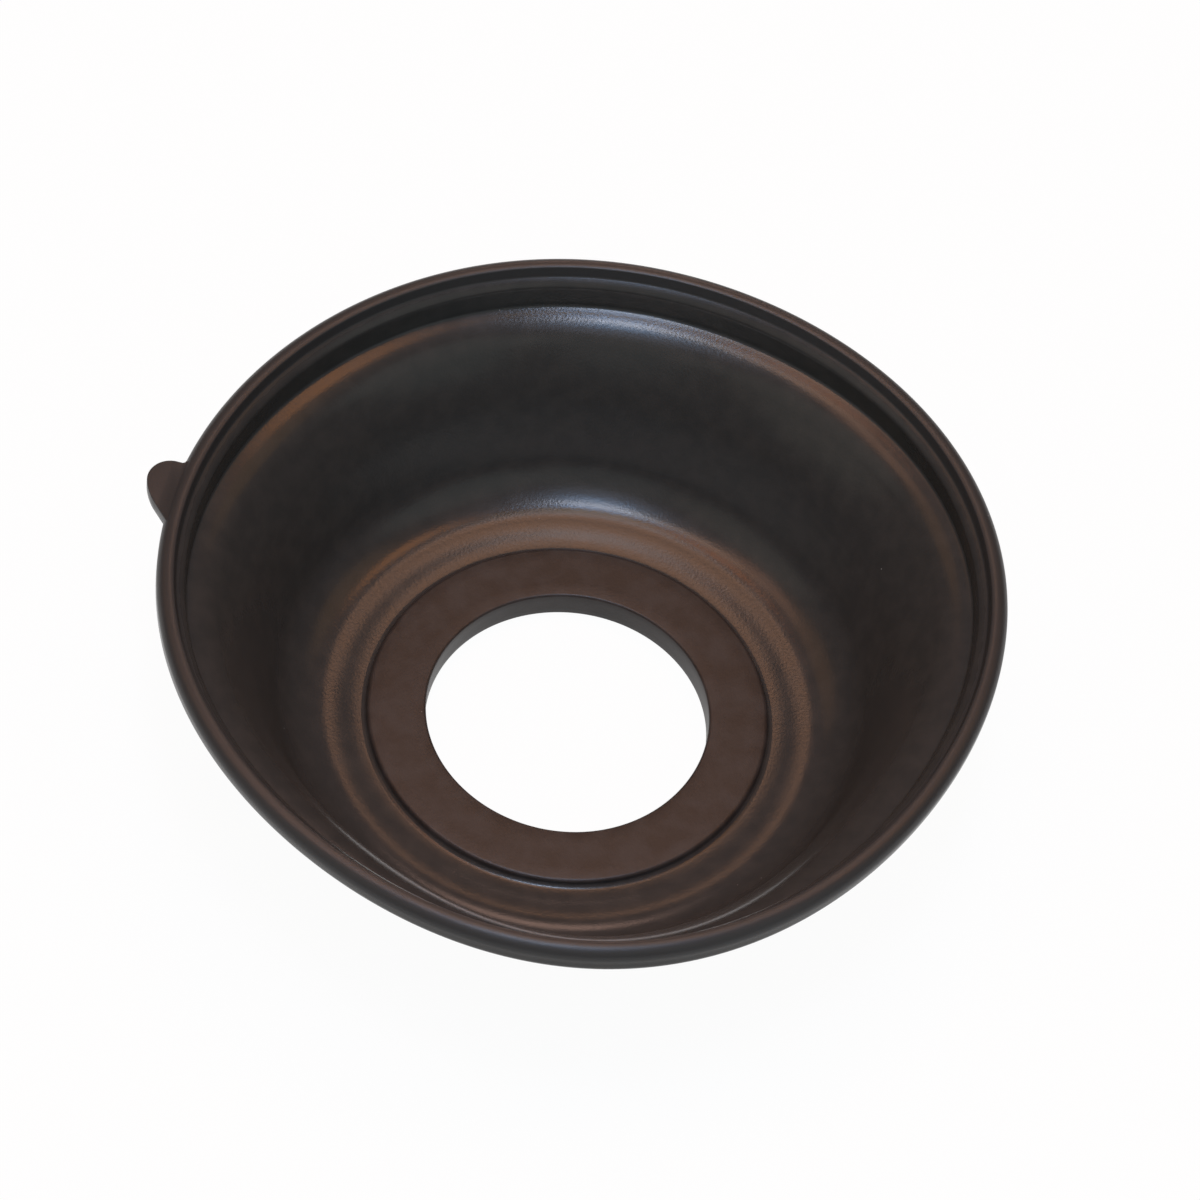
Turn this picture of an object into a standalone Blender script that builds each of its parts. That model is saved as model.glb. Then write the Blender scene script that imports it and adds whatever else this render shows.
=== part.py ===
"""Carburettor diaphragm: one moulded rubber bowl with a beaded rim and a thick hub ring.

Metres, +Z up. The bowl stands open side up on the underside of its hub ring, with
its axis on Z and that underside at z = 0. The locating lug on the rim points along
the diagonal between -X and +Y.
"""
import math

import bmesh
import bpy
from mathutils import Matrix

# Bead round the rim
RIM_RADIUS = 0.0380
BEAD_WIDTH = 0.0018
BEAD_HEIGHT = 0.0026

# Short neck under the bead, narrow flange and the rounded shoulder at its inner edge
NECK_STEP = 0.0002
NECK_TOP_DROP = 0.0013
FLANGE_DROP = 0.0045
FLANGE_WIDTH = 0.0015
FLANGE_FILLET = 0.0013
SHOULDER_RADIUS = 0.0034

# Height of the flange above the floor and the thickness of the moulded skin
FLANGE_RISE = 0.0160
SKIN = 0.0009

# Floor, the wide fillet that lifts it into the wall, and how far the wall leans in at the least
FLOOR_RADIUS = 0.0207
FLOOR_FILLET = 0.0071
WALL_LEAN = 0.0015

# Hub ring and its hole
HOLE_RADIUS = 0.0131
HOLE_EDGE = 0.00025
RING_RADIUS = 0.0186
RING_EDGE = 0.0004
RING_THICKNESS = 0.0029
RING_PROUD = 0.0007

# Locating lug on the rim
LUG_AZIMUTH = math.radians(135.0)
LUG_REACH = 0.0027
LUG_WIDTH = 0.0048
LUG_ROOT = 0.0011
LUG_STEP = 0.0003
LUG_EDGE = 0.0003

# Heights above the ring's underside, and radii, that follow from the sizes above
FLOOR_Z = RING_THICKNESS - RING_PROUD
FLANGE_Z = FLOOR_Z + FLANGE_RISE
CREST_Z = FLANGE_Z + FLANGE_DROP
NECK_RADIUS = RIM_RADIUS - BEAD_WIDTH - NECK_STEP
SHOULDER_START = NECK_RADIUS - FLANGE_WIDTH
WALL_FILLET = min(FLOOR_FILLET, SHOULDER_START - FLOOR_RADIUS - SHOULDER_RADIUS - WALL_LEAN)

# Fineness of the turned surfaces
AROUND = 72
WIDE_ARC_STEP = math.radians(14.0)
BEAD_ARC_STEP = math.radians(23.0)
NECK_ARC_STEP = math.radians(30.0)
EDGE_ARC_STEP = math.radians(45.0)


def clear_scene():
    """Leave an empty scene for the part."""
    for thing in list(bpy.data.objects):
        bpy.data.objects.remove(thing, do_unlink=True)


def arc(centre_r, centre_z, radius, start, end, step):
    """Points of an arc in the section, from the start angle to the end angle."""
    count = max(1, round(abs(end - start) / step))
    points = []
    for i in range(count + 1):
        angle = start + (end - start) * i / count
        points.append((centre_r + radius * math.cos(angle), centre_z + radius * math.sin(angle)))
    return points


def wall_slope():
    """Slope of the straight wall that runs tangent from the shoulder's arc to the floor's fillet."""
    across = FLOOR_RADIUS - SHOULDER_START
    up = FLOOR_Z + WALL_FILLET - (FLANGE_Z - SHOULDER_RADIUS)
    return -math.atan2(across, up) - math.acos((SHOULDER_RADIUS + WALL_FILLET) / math.hypot(across, up))


def bead_outside():
    """Crest, outer side and underside of the bead, in to the outside of the neck."""
    half = BEAD_WIDTH / 2
    middle = RIM_RADIUS - half
    low_z = CREST_Z - BEAD_HEIGHT + half
    meet = -math.acos((NECK_RADIUS + SKIN - middle) / half)
    points = arc(middle, CREST_Z - half, half, math.pi / 2, 0.0, BEAD_ARC_STEP)
    return points + arc(middle, low_z, half, 0.0, meet, BEAD_ARC_STEP)


def underside():
    """Outside of the neck, then the underside of shoulder, wall, fillet and floor, in to the ring."""
    slope = wall_slope()
    over = math.pi / 2 + slope
    under = slope - math.pi / 2
    corner = FLANGE_FILLET + SKIN
    points = arc(NECK_RADIUS - FLANGE_FILLET, FLANGE_Z + FLANGE_FILLET, corner, 0.0, -math.pi / 2, NECK_ARC_STEP)
    points += arc(SHOULDER_START, FLANGE_Z - SHOULDER_RADIUS, SHOULDER_RADIUS - SKIN, math.pi / 2, over, WIDE_ARC_STEP)
    points += arc(FLOOR_RADIUS, FLOOR_Z + WALL_FILLET, WALL_FILLET + SKIN, under, -math.pi / 2, WIDE_ARC_STEP)
    points.append((RING_RADIUS, FLOOR_Z - SKIN))
    return points


def hub_ring():
    """Outer step below the floor, flat underside, hole, flat top and outer step above the floor."""
    top = RING_THICKNESS
    foot = arc(RING_RADIUS - RING_EDGE, RING_EDGE, RING_EDGE, 0.0, -math.pi / 2, EDGE_ARC_STEP)
    hole_low = arc(HOLE_RADIUS + HOLE_EDGE, HOLE_EDGE, HOLE_EDGE, -math.pi / 2, -math.pi, EDGE_ARC_STEP)
    hole_top = arc(HOLE_RADIUS + HOLE_EDGE, top - HOLE_EDGE, HOLE_EDGE, math.pi, math.pi / 2, EDGE_ARC_STEP)
    crown = arc(RING_RADIUS - RING_EDGE, top - RING_EDGE, RING_EDGE, math.pi / 2, 0.0, EDGE_ARC_STEP)
    return foot + hole_low + hole_top + crown + [(RING_RADIUS, FLOOR_Z)]


def inside():
    """Floor, fillet, wall, shoulder, flange, neck and the bead's inner flank, up to its crest."""
    slope = wall_slope()
    half = BEAD_WIDTH / 2
    bead_r = RIM_RADIUS - BEAD_WIDTH
    corner = FLANGE_FILLET
    over = math.pi / 2 + slope
    under = slope - math.pi / 2
    points = arc(FLOOR_RADIUS, FLOOR_Z + WALL_FILLET, WALL_FILLET, -math.pi / 2, under, WIDE_ARC_STEP)
    points += arc(SHOULDER_START, FLANGE_Z - SHOULDER_RADIUS, SHOULDER_RADIUS, over, math.pi / 2, WIDE_ARC_STEP)
    points += arc(NECK_RADIUS - corner, FLANGE_Z + corner, corner, -math.pi / 2, 0.0, NECK_ARC_STEP)
    points += [(NECK_RADIUS, CREST_Z - NECK_TOP_DROP), (bead_r, CREST_Z - NECK_TOP_DROP)]
    crown = arc(bead_r + half, CREST_Z - half, half, math.pi, math.pi / 2, BEAD_ARC_STEP)
    return points + crown[:-1]


def moulded_section():
    """Closed section of the moulding as radius and height pairs, outer side first."""
    return bead_outside() + underside() + hub_ring() + inside()


def rubber():
    """Black moulded rubber with a dull sheen."""
    material = bpy.data.materials.new("rubber")
    material.use_nodes = True
    shader = material.node_tree.nodes["Principled BSDF"]
    shader.inputs["Base Color"].default_value = (0.022, 0.020, 0.019, 1.0)
    shader.inputs["Roughness"].default_value = 0.42
    return material


def turned_bowl(material):
    """The whole round moulding, its section turned once round the axis."""
    section = moulded_section()
    mesh = bpy.data.meshes.new("diaphragm")
    edges = [(i, (i + 1) % len(section)) for i in range(len(section))]
    mesh.from_pydata([(r, 0.0, z) for r, z in section], edges, [])
    mesh.materials.append(material)
    bowl = bpy.data.objects.new("diaphragm", mesh)
    bpy.context.scene.collection.objects.link(bowl)
    turn = bowl.modifiers.new("turn", "SCREW")
    turn.axis = "Z"
    turn.angle = 2 * math.pi
    turn.steps = AROUND
    turn.render_steps = AROUND
    turn.use_merge_vertices = True
    turn.merge_threshold = 0.000001
    return bowl


def locating_lug(material):
    """Half-round tongue on the outside of the bead, its edges eased."""
    nose = LUG_WIDTH / 2
    nose_r = RIM_RADIUS + LUG_REACH - nose
    low_z = CREST_Z - BEAD_HEIGHT + LUG_STEP
    high_z = CREST_Z - LUG_STEP
    plan = arc(nose_r, 0.0, nose, -math.pi / 2, math.pi / 2, WIDE_ARC_STEP)
    plan += [(RIM_RADIUS - LUG_ROOT, nose), (RIM_RADIUS - LUG_ROOT, -nose)]
    bm = bmesh.new()
    floor = bm.faces.new([bm.verts.new((x, y, low_z)) for x, y in plan])
    raised = bmesh.ops.extrude_face_region(bm, geom=[floor])
    top = [item for item in raised["geom"] if isinstance(item, bmesh.types.BMVert)]
    bmesh.ops.translate(bm, verts=top, vec=(0.0, 0.0, high_z - low_z))
    bmesh.ops.recalc_face_normals(bm, faces=bm.faces)
    flat = [edge for edge in bm.edges if abs(edge.verts[0].co.z - edge.verts[1].co.z) < 1e-7]
    bmesh.ops.bevel(bm, geom=flat, offset=LUG_EDGE, segments=2, profile=0.5, affect="EDGES")
    bmesh.ops.rotate(bm, verts=bm.verts, matrix=Matrix.Rotation(LUG_AZIMUTH, 3, "Z"))
    mesh = bpy.data.meshes.new("lug_form")
    bm.to_mesh(mesh)
    bm.free()
    mesh.materials.append(material)
    lug = bpy.data.objects.new("lug_form", mesh)
    bpy.context.scene.collection.objects.link(lug)
    lug.hide_render = True
    lug.display_type = "WIRE"
    return lug


def diaphragm():
    """The moulding as one solid: the turned bowl with the lug joined to its bead."""
    material = rubber()
    bowl = turned_bowl(material)
    lug = locating_lug(material)
    join = bowl.modifiers.new("lug", "BOOLEAN")
    join.operation = "UNION"
    join.solver = "EXACT"
    join.object = lug
    return bowl


clear_scene()
diaphragm()
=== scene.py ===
import math
import bmesh
import bpy
from mathutils import Matrix, Vector


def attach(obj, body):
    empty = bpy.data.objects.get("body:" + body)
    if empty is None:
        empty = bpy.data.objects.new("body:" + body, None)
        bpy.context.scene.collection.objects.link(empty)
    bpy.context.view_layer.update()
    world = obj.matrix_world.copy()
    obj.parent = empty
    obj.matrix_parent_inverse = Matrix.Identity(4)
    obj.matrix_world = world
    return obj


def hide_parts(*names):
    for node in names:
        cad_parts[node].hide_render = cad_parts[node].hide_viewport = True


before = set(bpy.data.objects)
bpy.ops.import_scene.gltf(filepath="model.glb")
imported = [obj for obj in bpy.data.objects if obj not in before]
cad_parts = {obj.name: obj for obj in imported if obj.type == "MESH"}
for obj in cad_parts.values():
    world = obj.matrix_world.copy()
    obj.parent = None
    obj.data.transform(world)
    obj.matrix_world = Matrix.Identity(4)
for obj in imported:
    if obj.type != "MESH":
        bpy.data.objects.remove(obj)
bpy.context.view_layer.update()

# Moulding
# The diaphragm is one round bowl of black rubber, pressed in a two-part mould: floor, conical wall,
# shoulder, flange, neck, bead, hub ring and locating lug in one. Nothing else is fixed to it. All of
# it but the lug is one closed section, in radius and height, turned once round the axis.
RIM_RADIUS = 0.0380
CREST_Z = 0.0227
SKIN = 0.0009
RING_THICKNESS = 0.0029
RING_PROUD = 0.0007
FLOOR_Z = RING_THICKNESS - RING_PROUD
ARC_STEP = math.radians(3.0)
LEAST_STEPS = 8


def bend(path, radius, slope, step=ARC_STEP):
    """Carry the path on, from its last point, round an arc that ends at the given slope."""
    r, z, first = path[-1]
    count = max(1, math.ceil(abs(slope - first) / step))
    side = 1.0 if slope > first else -1.0
    for i in range(1, count + 1):
        here = first + (slope - first) * i / count
        path.append((r + side * radius * (math.sin(here) - math.sin(first)),
                     z + side * radius * (math.cos(first) - math.cos(here)), here))


def bend_to(path, target):
    """Carry the path on round the one arc that reaches the target's radius at its slope."""
    end_r, slope = target
    radius = abs((end_r - path[-1][0]) / (math.sin(slope) - math.sin(path[-1][2])))
    bend(path, radius, slope, min(ARC_STEP, abs(slope - path[-1][2]) / LEAST_STEPS))


def run(path, length, count):
    """Carry the path straight on."""
    r, z, slope = path[-1]
    for i in range(1, count + 1):
        reach = length * i / count
        path.append((r + reach * math.cos(slope), z + reach * math.sin(slope), slope))


def bend_and_run(path, slope, end_r, end_z):
    """Radius of the arc to the given slope, and length of the straight after it, that reach the end."""
    r, z, first = path[-1]
    across, up = end_r - r, end_z - z
    arc_r, arc_z = math.sin(slope) - math.sin(first), math.cos(first) - math.cos(slope)
    whole = arc_r * math.sin(slope) - arc_z * math.cos(slope)
    radius = (across * math.sin(slope) - up * math.cos(slope)) / whole
    return radius, (arc_r * up - arc_z * across) / whole


# Floor, a shallow dish with a lip, and the foot of its fillet: the radius and slope each ends at
FLOOR_START = (0.0191, math.radians(2.0))
FLOOR_DISH = (0.0206, math.radians(10.0))
FLOOR_LIP = (0.0222, math.radians(1.5))
FILLET_FOOT = (0.0240, math.radians(25.0))

# Wall, shoulder and flange: the wall curves over, and the flange hollows up toward the neck
WALL_SLOPE = math.radians(69.6)
WALL_CURVE = 0.0258
WALL_STEPS = 10
WALL_ARC_STEP = math.radians(1.0)
SHOULDER_SLOPE = math.radians(55.0)
SHOULDER_RADIUS = 0.0050
FLANGE_SLOPE = math.radians(16.5)
FLANGE_RADIUS = 0.0344
FLANGE_DROP = 0.0044
FLANGE_Z = CREST_Z - FLANGE_DROP
FLANGE_HOLLOW = (0.0045, math.radians(22.5))

# Neck, a steep step with a rounded brow and a ledge below the bead: radius and end slope of each arc
NECK_SLOPE = math.radians(82.0)
NECK_STEPS = 6
NECK_BROW = (0.0007, math.radians(50.0))
NECK_LEDGE = (0.0024, math.radians(28.0))

# Bead: its inner flank leans in to the top of the neck, and its top falls inward from the crest.
# Below, it turns in toward the neck, over at most the tuck's share of its half width.
BEAD_WIDTH = 0.00158
BEAD_HEIGHT = 0.0026
BEAD_INNER_EDGE = 0.0002
BEAD_TOP = (0.0008, math.radians(24.0))
BEAD_TUCK = 0.9
FLANK_LEAN = 0.0002
FLANK_DROP = 0.0011
NECK_TOP = (RIM_RADIUS - BEAD_WIDTH - FLANK_LEAN, CREST_Z - FLANK_DROP)
FLANK_STEPS = 4
SIDE_STEPS = 3
EDGE_ARC_STEP = math.radians(9.0)
CROWN_ARC_STEP = math.radians(2.5)
SIDE_ARC_STEP = math.radians(6.0)


def skin_path():
    """Inside of the skin from the hub ring up to the foot of the bead: radius, height and slope."""
    path = [(FLOOR_START[0], FLOOR_Z, FLOOR_START[1])]
    bend_to(path, FLOOR_DISH)
    bend_to(path, FLOOR_LIP)
    bend_to(path, FILLET_FOOT)
    sin_w, cos_w = math.sin(WALL_SLOPE), math.cos(WALL_SLOPE)
    sin_s, cos_s = math.sin(SHOULDER_SLOPE), math.cos(SHOULDER_SLOPE)
    sin_f, cos_f = math.sin(FLANGE_SLOPE), math.cos(FLANGE_SLOPE)
    high_r = FLANGE_RADIUS - SHOULDER_RADIUS * (sin_s - sin_f) - WALL_CURVE * (sin_w - sin_s)
    high_z = FLANGE_Z - SHOULDER_RADIUS * (cos_f - cos_s) - WALL_CURVE * (cos_s - cos_w)
    fillet_radius, length = bend_and_run(path, WALL_SLOPE, high_r, high_z)
    bend(path, fillet_radius, WALL_SLOPE)
    run(path, length, WALL_STEPS)
    bend(path, WALL_CURVE, SHOULDER_SLOPE, WALL_ARC_STEP)
    bend(path, SHOULDER_RADIUS, FLANGE_SLOPE)
    bend(path, *FLANGE_HOLLOW)
    brow_r, brow_z = NECK_TOP
    steep = NECK_SLOPE
    for radius, flatter in (NECK_BROW, NECK_LEDGE):
        brow_r -= radius * (math.sin(steep) - math.sin(flatter))
        brow_z -= radius * (math.cos(flatter) - math.cos(steep))
        steep = flatter
    corner_radius, length = bend_and_run(path, NECK_SLOPE, brow_r, brow_z)
    bend(path, corner_radius, NECK_SLOPE)
    run(path, length, NECK_STEPS)
    bend(path, *NECK_BROW)
    bend(path, *NECK_LEDGE)
    return path


def arc(centre_r, centre_z, radius, start, end, step):
    """Points of an arc in the section, from the start angle to the end angle."""
    count = max(1, round(abs(end - start) / step))
    points = []
    for i in range(count + 1):
        angle = start + (end - start) * i / count
        points.append((centre_r + radius * math.cos(angle), centre_z + radius * math.sin(angle)))
    return points


def straight(first, last, count):
    """Points between two ends of a straight run, without the ends."""
    return [(first[0] + (last[0] - first[0]) * i / count, first[1] + (last[1] - first[1]) * i / count)
            for i in range(1, count)]


def bead(neck_outside):
    """Bead from its inner flank over the crest, down its outer side and in to the outside of the neck."""
    top_radius, top_slope = BEAD_TOP
    edge_z = CREST_Z - top_radius * (1 - math.cos(top_slope))
    flank_slope = math.pi / 2 - math.atan2(FLANK_LEAN, FLANK_DROP)
    path = [(RIM_RADIUS - BEAD_WIDTH, edge_z, flank_slope)]
    bend(path, BEAD_INNER_EDGE, top_slope, EDGE_ARC_STEP)
    lift = edge_z - path[-1][1]
    path = [(r, z + lift, slope) for r, z, slope in path]
    bend(path, top_radius, 0.0, CROWN_ARC_STEP)
    bend(path, RIM_RADIUS - path[-1][0], -math.pi / 2, SIDE_ARC_STEP)
    crown = [(r, z) for r, z, slope in path]
    half = BEAD_WIDTH / 2
    low_z = CREST_Z - BEAD_HEIGHT + half
    meet = -math.acos(max(-BEAD_TUCK, (neck_outside - RIM_RADIUS + half) / half))
    foot = arc(RIM_RADIUS - half, low_z, half, 0.0, meet, EDGE_ARC_STEP)
    flank = straight(NECK_TOP, crown[0], FLANK_STEPS)
    return flank + crown + straight(crown[-1], foot[0], SIDE_STEPS) + foot


# Hub ring: thick and proud of the floor above and below, with eased edges and a small hollow where
# it meets the floor above. The gap keeps the hollow's last point off the floor's first.
HOLE_RADIUS = 0.0131
HOLE_EDGE = 0.00025
RING_RADIUS = 0.0186
RING_EDGE = 0.0004
RING_HOLLOW = 0.0005
HOLLOW_START = math.pi * 1.2
HOLLOW_END = math.pi * 1.48
HOLLOW_GAP = 0.00001
HOLLOW_ARC_STEP = math.radians(12.0)
RING_STEPS = 4
RING_ARC_STEP = math.radians(18.0)


def hub_ring():
    """Outer step below the floor, flat underside, hole, flat top and outer step above the floor."""
    outer_r = RING_RADIUS - RING_EDGE
    inner_r = HOLE_RADIUS + HOLE_EDGE
    low = arc(outer_r, RING_EDGE, RING_EDGE, 0.0, -math.pi / 2, RING_ARC_STEP)
    hole_low = arc(inner_r, HOLE_EDGE, HOLE_EDGE, -math.pi / 2, -math.pi, RING_ARC_STEP)
    hole_top = arc(inner_r, RING_THICKNESS - HOLE_EDGE, HOLE_EDGE, math.pi, math.pi / 2, RING_ARC_STEP)
    top = arc(outer_r, RING_THICKNESS - RING_EDGE, RING_EDGE, math.pi / 2, 0.0, RING_ARC_STEP)
    underside = straight(low[-1], hole_low[0], RING_STEPS)
    hole = straight(hole_low[-1], hole_top[0], RING_STEPS)
    upside = straight(hole_top[-1], top[0], RING_STEPS)
    hollow = arc(FLOOR_START[0] - HOLLOW_GAP, FLOOR_Z + RING_HOLLOW, RING_HOLLOW,
                 HOLLOW_START, HOLLOW_END, HOLLOW_ARC_STEP)
    return low + underside + hole_low + hole + hole_top + upside + top + hollow


# The outside of the skin follows every third point of the inside. The turn goes round in even steps.
BACK_EVERY = 3
AROUND = 360


def moulded_section():
    """Closed section of the moulding as radius and height pairs, from the ring up the inside and back."""
    path = skin_path()
    up = [(r, z) for r, z, slope in path]
    back = [(r + SKIN * math.sin(slope), z - SKIN * math.cos(slope))
            for r, z, slope in path[::-1][::BACK_EVERY]]
    low = [point for point in back if point[1] < CREST_Z - BEAD_HEIGHT]
    return up + bead(low[0][0]) + low + hub_ring()


def turned(section):
    """The closed section turned once round the axis, as a mesh."""
    count = len(section)
    places = []
    faces = []
    for i in range(AROUND):
        azimuth = 2 * math.pi * i / AROUND
        places += [(r * math.cos(azimuth), r * math.sin(azimuth), z) for r, z in section]
        here = i * count
        there = (i + 1) % AROUND * count
        for k in range(count):
            after = (k + 1) % count
            faces.append((here + k, here + after, there + after, there + k))
    mesh = bpy.data.meshes.new("moulding")
    mesh.from_pydata(places, [], faces)
    return mesh


# Colours of the rubber: browner on the hub ring, and a little paler where it is worn
SKIN_BLACK = (0.034, 0.034, 0.032, 1.0)
SKIN_WORN = (0.040, 0.039, 0.036, 1.0)
RING_BROWN = (0.025, 0.020, 0.017, 1.0)
RING_WORN = (0.036, 0.031, 0.028, 1.0)
BEAD_GREY = (0.034, 0.034, 0.033, 1.0)
DUST_GREY = (0.22, 0.21, 0.20, 1.0)

# Finish: a low sheen on the thin skin, duller on the hub ring, which a ground face of the mould
# shapes, and on the handled bead. The zones are radii at the ring and heights at the bead.
RUBBER_SHEEN = 0.31
SKIN_ROUGHNESS = 0.23
RING_ROUGHNESS = 0.42
BEAD_ROUGHNESS = 0.38
ROUGHNESS_SPREAD = 0.04
RING_ZONE = (0.0188, 0.0185)
BEAD_ZONE = (0.0212, 0.0219)

# Mottling and grain: scale and detail of the clouds, and the range of them that shows
MOTTLE_SCALE = 520.0
MOTTLE_DETAIL = 5.0
WORN_CLOUDS = (0.38, 0.66)
UNEVEN_CLOUDS = (0.3, 0.7)
GRAIN_SCALE = 3800.0
GRAIN_DETAIL = 2.0
GRAIN_DEPTH = 0.000012

# Dust: cells to the metre, radius of a speck in its cell, share of the cells that hold one, and the
# shares of that radius and of all specks that are full grey
DUST_SCALE = 1000.0
DUST_SIZE = 0.09
DUST_SHARE = 0.02
DUST_CORE = 0.6
DUST_FULL = 0.9

# Sockets of Blender's colour mix
MIX_FIRST = 6
MIX_SECOND = 7
MIX_RESULT = 2


def mapped(nodes, links, source, low, high, to_low, to_high):
    """A value spread from one range to another, held at the ends."""
    node = nodes.new("ShaderNodeMapRange")
    node.inputs["From Min"].default_value = low
    node.inputs["From Max"].default_value = high
    node.inputs["To Min"].default_value = to_low
    node.inputs["To Max"].default_value = to_high
    links.new(source, node.inputs["Value"])
    return node.outputs["Result"]


def blend(nodes, links, share, first, second):
    """A colour that goes from the first to the second with the share."""
    node = nodes.new("ShaderNodeMix")
    node.data_type = "RGBA"
    links.new(share, node.inputs["Factor"])
    for socket, colour in ((node.inputs[MIX_FIRST], first), (node.inputs[MIX_SECOND], second)):
        if isinstance(colour, tuple):
            socket.default_value = colour
        else:
            links.new(colour, socket)
    return node.outputs[MIX_RESULT]


def noise(nodes, links, place, scale, detail):
    """Soft random clouds of the given scale."""
    node = nodes.new("ShaderNodeTexNoise")
    node.inputs["Scale"].default_value = scale
    node.inputs["Detail"].default_value = detail
    links.new(place, node.inputs["Vector"])
    return node.outputs["Fac"]


def combined(nodes, links, operation, first, second):
    """Two values put together."""
    node = nodes.new("ShaderNodeMath")
    node.operation = operation
    links.new(first, node.inputs[0])
    links.new(second, node.inputs[1])
    return node.outputs["Value"]


def dust(nodes, links, place):
    """A few single specks, scattered over the whole surface."""
    cells = nodes.new("ShaderNodeTexVoronoi")
    cells.inputs["Scale"].default_value = DUST_SCALE
    links.new(place, cells.inputs["Vector"])
    chance = nodes.new("ShaderNodeSeparateXYZ")
    links.new(cells.outputs["Color"], chance.inputs["Vector"])
    near = mapped(nodes, links, cells.outputs["Distance"], DUST_SIZE, DUST_SIZE * DUST_CORE, 0.0, 1.0)
    full = 1 - DUST_SHARE * DUST_FULL
    picked = mapped(nodes, links, chance.outputs["X"], 1 - DUST_SHARE, full, 0.0, 1.0)
    return combined(nodes, links, "MULTIPLY", near, picked)


def rubber(name):
    """Black moulded rubber: skin, duller ring and bead by their place, with a fine grain."""
    material = bpy.data.materials.new(name)
    material.use_nodes = True
    nodes = material.node_tree.nodes
    links = material.node_tree.links
    shader = nodes["Principled BSDF"]
    place = nodes.new("ShaderNodeTexCoord").outputs["Object"]
    flat = nodes.new("ShaderNodeVectorMath")
    flat.operation = "MULTIPLY"
    flat.inputs[1].default_value = (1.0, 1.0, 0.0)
    links.new(place, flat.inputs[0])
    from_axis = nodes.new("ShaderNodeVectorMath")
    from_axis.operation = "LENGTH"
    links.new(flat.outputs["Vector"], from_axis.inputs[0])
    radius = from_axis.outputs["Value"]
    parts = nodes.new("ShaderNodeSeparateXYZ")
    links.new(place, parts.inputs["Vector"])
    height = parts.outputs["Z"]
    on_ring = mapped(nodes, links, radius, *RING_ZONE, 0.0, 1.0)
    on_bead = mapped(nodes, links, height, *BEAD_ZONE, 0.0, 1.0)
    clouds = noise(nodes, links, place, MOTTLE_SCALE, MOTTLE_DETAIL)
    worn = mapped(nodes, links, clouds, *WORN_CLOUDS, 0.0, 1.0)
    skin = blend(nodes, links, worn, SKIN_BLACK, SKIN_WORN)
    ring = blend(nodes, links, worn, RING_BROWN, RING_WORN)
    moulded = blend(nodes, links, on_bead, blend(nodes, links, on_ring, skin, ring), BEAD_GREY)
    dusty = blend(nodes, links, dust(nodes, links, place), moulded, DUST_GREY)
    links.new(dusty, shader.inputs["Base Color"])
    skin_or_ring = mapped(nodes, links, radius, *RING_ZONE, SKIN_ROUGHNESS, RING_ROUGHNESS)
    more_at_bead = mapped(nodes, links, height, *BEAD_ZONE, 0.0, BEAD_ROUGHNESS - SKIN_ROUGHNESS)
    spread = ROUGHNESS_SPREAD / 2
    uneven = mapped(nodes, links, clouds, *UNEVEN_CLOUDS, -spread, spread)
    dull = combined(nodes, links, "ADD", skin_or_ring, more_at_bead)
    links.new(combined(nodes, links, "ADD", dull, uneven), shader.inputs["Roughness"])
    grain = nodes.new("ShaderNodeBump")
    grain.inputs["Distance"].default_value = GRAIN_DEPTH
    links.new(noise(nodes, links, place, GRAIN_SCALE, GRAIN_DETAIL), grain.inputs["Height"])
    links.new(grain.outputs["Normal"], shader.inputs["Normal"])
    shader.inputs["Specular IOR Level"].default_value = RUBBER_SHEEN
    return material


moulding_mesh = turned(moulded_section())
moulding = bpy.data.objects.new("moulding", moulding_mesh)
bpy.context.scene.collection.objects.link(moulding)
moulding_mesh.materials.append(rubber("black rubber"))
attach(moulding, "root")
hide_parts("diaphragm")

# Locating lug
# A rounded tongue on the outside of the bead, of the same rubber and moulded in one with it, a little
# lower than its crest, which sets the diaphragm in its notch. One side tapers into the rim, and the
# other meets it in a small hollow.
LUG_AZIMUTH = math.radians(135.0)
LUG_REACH = 0.0026
LUG_NOSE = 0.0021
LUG_SHIFT = -0.00054
LUG_CHEEK = (0.0060, math.radians(20.0))
LUG_TAPER = math.radians(45.0)
LUG_HOLLOW = 0.0003
LUG_HOLLOW_SINK = 0.00025
LUG_ROOT = 0.0007
LUG_STEP = 0.0003
LUG_THICKNESS = 0.0013
LUG_EDGE = 0.0006
LUG_EDGE_STEPS = 5
NOSE_ARC_STEP = math.radians(6.0)
LUG_HOLLOW_ARC_STEP = math.radians(15.0)
LEVEL_WITHIN = 1e-7

# Outline from above: arc of the nose, wider arc of the cheek and straight taper, then the root inside
# the bead and the hollow, whose middle is sunk into the rim
nose_r = RIM_RADIUS + LUG_REACH - LUG_NOSE
cheek, cheek_start = LUG_CHEEK
cheek_r = nose_r - (cheek - LUG_NOSE) * math.cos(cheek_start)
cheek_y = -(cheek - LUG_NOSE) * math.sin(cheek_start)
plan = arc(nose_r, 0.0, LUG_NOSE, -math.pi / 2, cheek_start, NOSE_ARC_STEP)
plan += arc(cheek_r, cheek_y, cheek, cheek_start, LUG_TAPER, ARC_STEP)[1:]
plan = [(x, LUG_SHIFT + y) for x, y in plan]
taper_run = (plan[-1][0] - RIM_RADIUS + LUG_ROOT) / math.tan(LUG_TAPER)
plan.append((RIM_RADIUS - LUG_ROOT, plan[-1][1] + taper_run))
hollow_r = RIM_RADIUS + LUG_HOLLOW - LUG_HOLLOW_SINK
hollow_y = LUG_SHIFT - LUG_NOSE - LUG_HOLLOW
plan.append((RIM_RADIUS - LUG_ROOT, hollow_y))
plan += arc(hollow_r, hollow_y, LUG_HOLLOW, math.pi, math.pi / 2, LUG_HOLLOW_ARC_STEP)

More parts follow.
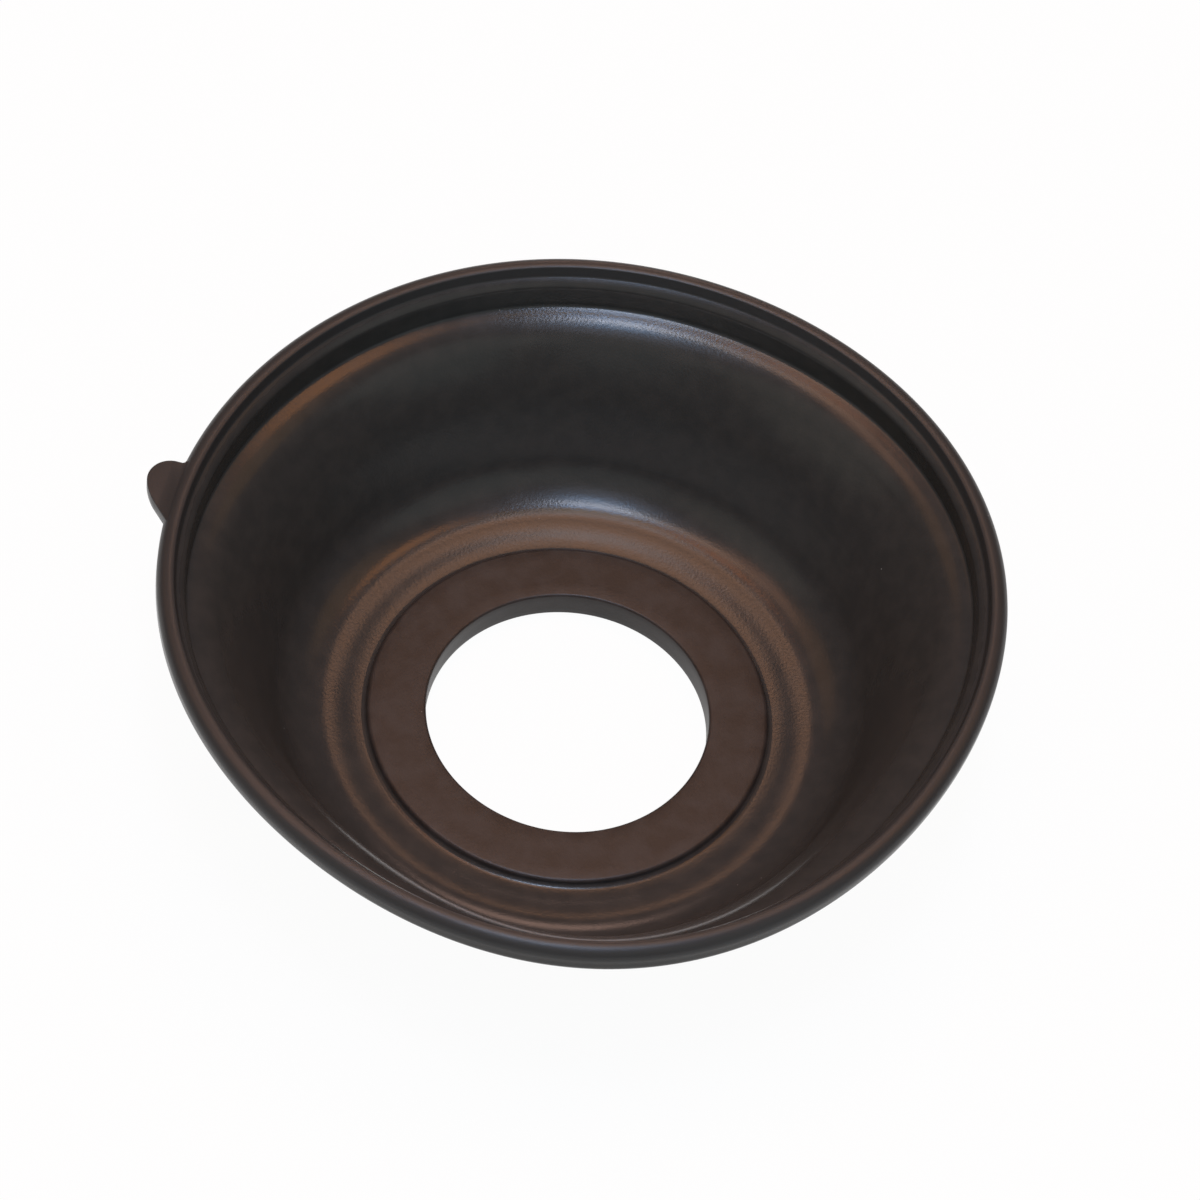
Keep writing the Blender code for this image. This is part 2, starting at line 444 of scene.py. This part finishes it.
# Form: the outline raised to its thickness, its edges eased above and below, and joined to the bead
lug_bm = bmesh.new()
lug_low_z = CREST_Z - LUG_STEP - LUG_THICKNESS
lug_low = lug_bm.faces.new([lug_bm.verts.new((x, y, lug_low_z)) for x, y in plan])
lug_raised = bmesh.ops.extrude_face_region(lug_bm, geom=[lug_low])
lug_top = [item for item in lug_raised["geom"] if isinstance(item, bmesh.types.BMVert)]
bmesh.ops.translate(lug_bm, verts=lug_top, vec=(0.0, 0.0, LUG_THICKNESS))
bmesh.ops.recalc_face_normals(lug_bm, faces=lug_bm.faces)
lug_edges = [edge for edge in lug_bm.edges
             if abs(edge.verts[0].co.z - edge.verts[1].co.z) < LEVEL_WITHIN]
bmesh.ops.bevel(lug_bm, geom=lug_edges, offset=LUG_EDGE, segments=LUG_EDGE_STEPS, profile=0.5,
                affect="EDGES", clamp_overlap=True)
bmesh.ops.rotate(lug_bm, verts=lug_bm.verts, matrix=Matrix.Rotation(LUG_AZIMUTH, 3, "Z"))
lug_mesh = bpy.data.meshes.new("lug form")
lug_bm.to_mesh(lug_mesh)
lug_bm.free()
lug_form = bpy.data.objects.new("lug form", lug_mesh)
bpy.context.scene.collection.objects.link(lug_form)
join = moulding.modifiers.new("lug", "BOOLEAN")
join.operation = "UNION"
join.solver = "EXACT"
join.object = lug_form
joined = bpy.data.meshes.new_from_object(moulding.evaluated_get(bpy.context.evaluated_depsgraph_get()))
moulding.modifiers.clear()
moulding.data = joined
bpy.data.objects.remove(lug_form, do_unlink=True)

# The whole moulding, lug and all, has sprung a little out of round since it left the mould: by a mean
# and by one to four waves round the rim, counted from a quarter turn past the camera.
CAMERA_AZIMUTH = math.radians(232.4)
SWELL_MEAN = 0.000186
SWELL_WAVES = (
    (0.000050, 0.000120),
    (-0.000061, 0.000092),
    (-0.000222, 0.000342),
    (0.000143, 0.000239),
)
SWELL_WHOLE_DROP = 0.0015
SHOULDER_SWELL = 2.4
SHOULDER_FADE = 4


def swell(azimuth, height):
    """How far the sprung rubber stands out of round: nothing at the floor, most at the shoulder."""
    seen = azimuth - CAMERA_AZIMUTH - math.pi / 2
    out = SWELL_MEAN
    for i, (along, beside) in enumerate(SWELL_WAVES):
        out += along * math.cos((i + 1) * seen) + beside * math.sin((i + 1) * seen)
    share = min(1.0, max(0.0, (height - FLOOR_Z) / (CREST_Z - SWELL_WHOLE_DROP - FLOOR_Z)))
    return out * share * (1 + (SHOULDER_SWELL - 1) * min(1.0, SHOULDER_FADE * (1 - share)))


for vertex in joined.vertices:
    x, y, z = vertex.co
    out = swell(math.atan2(y, x), z) / math.hypot(x, y)
    vertex.co = (x * (1 + out), y * (1 + out), z)
joined.shade_smooth()

# Floor
# A plain white board that the part just stands on. It is seen as white, with the part's soft shadow
# on it. Reflections find it white too, but for a small round place under the hub's hole.
BOARD_SIZE = 3.0
BOARD_LEVEL = -0.00002
BOARD_WHITE = (0.85, 0.85, 0.85, 1.0)
BOARD_ROUGHNESS = 0.9
BOARD_SHEEN = 0.0
BOARD_SEEN_WHITE = 0.96
BOARD_SHADE = (0.006, 0.010)
floor_mesh = bpy.data.meshes.new("floor")
floor_bm = bmesh.new()
bmesh.ops.create_grid(floor_bm, x_segments=1, y_segments=1, size=BOARD_SIZE / 2)
floor_bm.to_mesh(floor_mesh)
floor_bm.free()
floor = bpy.data.objects.new("floor", floor_mesh)
floor.location.z = BOARD_LEVEL
bpy.context.scene.collection.objects.link(floor)
board = bpy.data.materials.new("white board")
board.use_nodes = True
board_nodes = board.node_tree.nodes
board_links = board.node_tree.links
board_shader = board_nodes["Principled BSDF"]
board_shader.inputs["Base Color"].default_value = BOARD_WHITE
board_shader.inputs["Roughness"].default_value = BOARD_ROUGHNESS
board_shader.inputs["Specular IOR Level"].default_value = BOARD_SHEEN
from_middle = board_nodes.new("ShaderNodeVectorMath")
from_middle.operation = "LENGTH"
board_links.new(board_nodes.new("ShaderNodeTexCoord").outputs["Object"], from_middle.inputs[0])
open_floor = mapped(board_nodes, board_links, from_middle.outputs["Value"], *BOARD_SHADE, 0.0, 1.0)
light_path = board_nodes.new("ShaderNodeLightPath")
seen = light_path.outputs["Is Camera Ray"]
for ray in ("Is Glossy Ray", "Is Transmission Ray"):
    reflected = combined(board_nodes, board_links, "MULTIPLY", light_path.outputs[ray], open_floor)
    seen = combined(board_nodes, board_links, "MAXIMUM", seen, reflected)
seen_white = mapped(board_nodes, board_links, seen, 0.0, 1.0, 0.0, BOARD_SEEN_WHITE)
glow = board_nodes.new("ShaderNodeEmission")
both = board_nodes.new("ShaderNodeMixShader")
board_links.new(seen_white, both.inputs["Fac"])
board_links.new(board_shader.outputs["BSDF"], both.inputs[1])
board_links.new(glow.outputs["Emission"], both.inputs[2])
board_links.new(both.outputs["Shader"], board_nodes["Material Output"].inputs["Surface"])
floor_mesh.materials.append(board)

# Lamps
# Soft round lamps in a dim room: a cool window overhead, warm lamps behind and to both sides, and
# weak light from low down all round. Each has its bearing, height angle and half width in degrees
# and its radiance. Bearing 0 is to the camera's right, and 90 is beyond the part.
LAMP_DISTANCE = 1.0
LAMPS = (
    ("window overhead", 270.0, 82.0, 5.0, (22.0, 24.0, 28.5)),
    ("skylight", 90.0, 90.0, 4.5, (6.5, 11.0, 19.0)),
    ("left ceiling", 210.0, 82.0, 5.0, (5.1, 4.7, 4.3)),
    ("window sill", 270.0, 73.0, 6.0, (2.5, 4.9, 8.5)),
    ("window frame", 270.0, 66.0, 14.0, (1.1, 1.3, 1.7)),
    ("high back lamp", 90.0, 82.0, 5.0, (4.8, 2.8, 0.2)),
    ("back lamp", 90.0, 73.0, 6.0, (6.3, 5.3, 5.3)),
    ("warm back lamp", 90.0, 62.0, 7.5, (5.4, 2.6, 1.3)),
    ("low back lamp", 90.0, 26.0, 8.0, (5.4, 3.4, 2.7)),
    ("red back lamp", 135.0, 73.0, 6.5, (5.6, 1.7, 0.3)),
    ("high left lamp", 180.0, 73.0, 6.0, (6.5, 3.4, 1.9)),
    ("warm left lamp", 180.0, 59.0, 9.5, (2.9, 1.4, 0.8)),
    ("warm right lamp", 33.0, 64.0, 8.0, (5.4, 2.1, 0.6)),
    ("warm right glow", 22.0, 44.0, 14.0, (0.70, 0.34, 0.08)),
    ("warm left glow", 158.0, 44.0, 14.0, (0.75, 0.34, 0.10)),
    ("soft front wall", 270.0, 34.0, 22.0, (0.36, 0.42, 0.42)),
    ("soft right wall", 322.0, 30.0, 24.0, (0.40, 0.48, 0.46)),
    ("soft left wall", 214.0, 30.0, 24.0, (0.44, 0.44, 0.38)),
)
toward_far = Vector((-math.cos(CAMERA_AZIMUTH), -math.sin(CAMERA_AZIMUTH), 0.0))
upward = Vector((0.0, 0.0, 1.0))
level_right = toward_far.cross(upward)
for name, bearing, height, half_width, radiance in LAMPS:
    level = math.cos(math.radians(bearing)) * level_right + math.sin(math.radians(bearing)) * toward_far
    aim = math.cos(math.radians(height)) * level + math.sin(math.radians(height)) * upward
    lamp_data = bpy.data.lights.new(name, "AREA")
    lamp_data.shape = "DISK"
    lamp_data.size = 2 * LAMP_DISTANCE * math.tan(math.radians(half_width))
    lamp_data.color = [part / max(radiance) for part in radiance]
    # The power of an evenly lit disk is its radiance times its area times pi
    lamp_data.energy = max(radiance) * math.pi * math.pi * (lamp_data.size / 2) ** 2
    lamp = bpy.data.objects.new(name, lamp_data)
    lamp.location = aim * LAMP_DISTANCE
    lamp.rotation_euler = aim.to_track_quat("Z", "Y").to_euler()
    bpy.context.scene.collection.objects.link(lamp)

# World
# The dim room itself: a faint even grey from all sides, which keeps the deepest folds of the
# rubber from going quite black.
ROOM_GREY = (0.03, 0.03, 0.03, 1.0)
world = bpy.data.worlds.new("dim room")
bpy.context.scene.world = world
world.use_nodes = True
world.node_tree.nodes["Background"].inputs["Color"].default_value = ROOM_GREY

# Camera
# A long lens that looks into the open side from a little over halfway up. It is rolled, so that the
# part's axis leans right, and moved a little right and up to frame the part.
CAMERA_HEIGHT_ANGLE = math.radians(54.42)
CAMERA_ROLL = math.radians(8.25)
CAMERA_DISTANCE = 0.5548
LENS = 180.0
AIM = Vector((0.0, 0.0, 0.0025))
AIM_RIGHT = 0.003005
AIM_UP = 0.010523

upright = math.cos(CAMERA_HEIGHT_ANGLE) * upward + math.sin(CAMERA_HEIGHT_ANGLE) * toward_far
back = math.sin(CAMERA_HEIGHT_ANGLE) * upward - math.cos(CAMERA_HEIGHT_ANGLE) * toward_far
camera_right = level_right * math.cos(CAMERA_ROLL) + upright * math.sin(CAMERA_ROLL)
camera_up = upright * math.cos(CAMERA_ROLL) - level_right * math.sin(CAMERA_ROLL)
camera_data = bpy.data.cameras.new("camera")
camera_data.lens = LENS
camera = bpy.data.objects.new("camera", camera_data)
bpy.context.scene.collection.objects.link(camera)
camera_place = AIM + camera_right * AIM_RIGHT + camera_up * AIM_UP + back * CAMERA_DISTANCE
camera_turn = Matrix((camera_right, camera_up, back)).transposed().to_4x4()
camera.matrix_world = Matrix.Translation(camera_place) @ camera_turn
bpy.context.scene.camera = camera
bpy.context.scene.view_settings.view_transform = "Standard"
